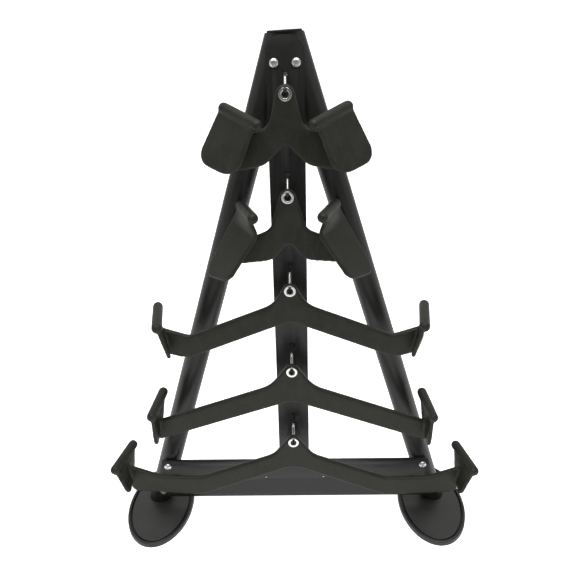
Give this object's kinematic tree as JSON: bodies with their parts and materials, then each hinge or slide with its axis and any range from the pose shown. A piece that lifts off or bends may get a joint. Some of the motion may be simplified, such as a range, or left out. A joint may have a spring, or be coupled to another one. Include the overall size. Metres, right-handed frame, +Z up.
{
  "type": "cable attachment rack",
  "caption": "A-frame floor stand of two round tubes with a central spine whose bent hooks hold coated lat-pulldown grips of different widths.",
  "frame": {"origin": "floor level, midway between the two feet", "axes": "+Z up, the front with the grips faces -Y, +X to the viewer's right"},
  "size_m": [0.9474, 0.298, 1.2532],
  "materials": {
    "black_gloss_tube": "gloss black powder coat",
    "black_coated_plate": "satin black powder coat",
    "bright_steel": "bright zinc-plated steel",
    "black_nut": "black oxide",
    "black_rubber": "black moulded rubber",
    "charcoal_grip_coating": "matte charcoal rubber-like coating over a rigid core",
    "polished_steel": "polished steel"
  },
  "bodies": {
    "rack_frame": {"leg_left": "black_gloss_tube", "leg_right": "black_gloss_tube", "top_cap": "black_gloss_tube", "spine_plate": "black_coated_plate", "crossmember": "black_coated_plate", "top_screw_left": "bright_steel", "crossmember_screw_left_upper": "bright_steel", "crossmember_screw_left_lower": "bright_steel", "top_screw_right": "bright_steel", "crossmember_screw_right_upper": "bright_steel", "crossmember_screw_right_lower": "bright_steel", "hook_1": "bright_steel", "front_nut_1": "black_nut", "rear_nut_1": "black_nut", "hook_2": "bright_steel", "front_nut_2": "black_nut", "rear_nut_2": "black_nut", "hook_3": "bright_steel", "front_nut_3": "black_nut", "rear_nut_3": "black_nut", "hook_4": "bright_steel", "front_nut_4": "black_nut", "rear_nut_4": "black_nut", "hook_5": "bright_steel", "front_nut_5": "black_nut", "rear_nut_5": "black_nut", "foot_plate_left": "black_coated_plate", "foot_rubber_left": "black_rubber", "foot_plate_right": "black_coated_plate", "foot_rubber_right": "black_rubber"},
    "eyelet_body_1": {"eyelet_1": "polished_steel"},
    "grip_body_1": {"grip_1": "charcoal_grip_coating"},
    "eyelet_body_2": {"eyelet_2": "polished_steel"},
    "grip_body_2": {"grip_2": "charcoal_grip_coating"},
    "eyelet_body_3": {"eyelet_3": "polished_steel"},
    "grip_body_3": {"grip_3": "charcoal_grip_coating"},
    "eyelet_body_4": {"eyelet_4": "polished_steel"},
    "grip_body_4": {"grip_4": "charcoal_grip_coating"},
    "eyelet_body_5": {"eyelet_5": "polished_steel"},
    "grip_body_5": {"grip_5": "charcoal_grip_coating"}
  },
  "joints": [
    {"name": "lift_off_1", "type": "slide", "parent": "rack_frame", "child": "eyelet_body_1", "axis": [0, -0.9063, 0.4226], "range_m": [0, 0.045]},
    {"name": "swing_1", "type": "hinge", "parent": "eyelet_body_1", "child": "grip_body_1", "pos_m": [0, -0.072, 1.1379], "axis": [0, 1, 0], "range_deg": [-8, 8]},
    {"name": "lift_off_2", "type": "slide", "parent": "rack_frame", "child": "eyelet_body_2", "axis": [0, -0.9063, 0.4226], "range_m": [0, 0.045]},
    {"name": "swing_2", "type": "hinge", "parent": "eyelet_body_2", "child": "grip_body_2", "pos_m": [0, -0.072, 0.9292], "axis": [0, 1, 0], "range_deg": [-8, 8]},
    {"name": "lift_off_3", "type": "slide", "parent": "rack_frame", "child": "eyelet_body_3", "axis": [0, -0.9063, 0.4226], "range_m": [0, 0.045]},
    {"name": "swing_3", "type": "hinge", "parent": "eyelet_body_3", "child": "grip_body_3", "pos_m": [0, -0.072, 0.7117], "axis": [0, 1, 0], "range_deg": [-10, 10]},
    {"name": "lift_off_4", "type": "slide", "parent": "rack_frame", "child": "eyelet_body_4", "axis": [0, -0.9063, 0.4226], "range_m": [0, 0.045]},
    {"name": "swing_4", "type": "hinge", "parent": "eyelet_body_4", "child": "grip_body_4", "pos_m": [0, -0.072, 0.4969], "axis": [0, 1, 0], "range_deg": [-10, 10]},
    {"name": "lift_off_5", "type": "slide", "parent": "rack_frame", "child": "eyelet_body_5", "axis": [0, -0.9063, 0.4226], "range_m": [0, 0.045]},
    {"name": "swing_5", "type": "hinge", "parent": "eyelet_body_5", "child": "grip_body_5", "pos_m": [0, -0.072, 0.286], "axis": [0, 1, 0], "range_deg": [-10, 10]}
  ]
}
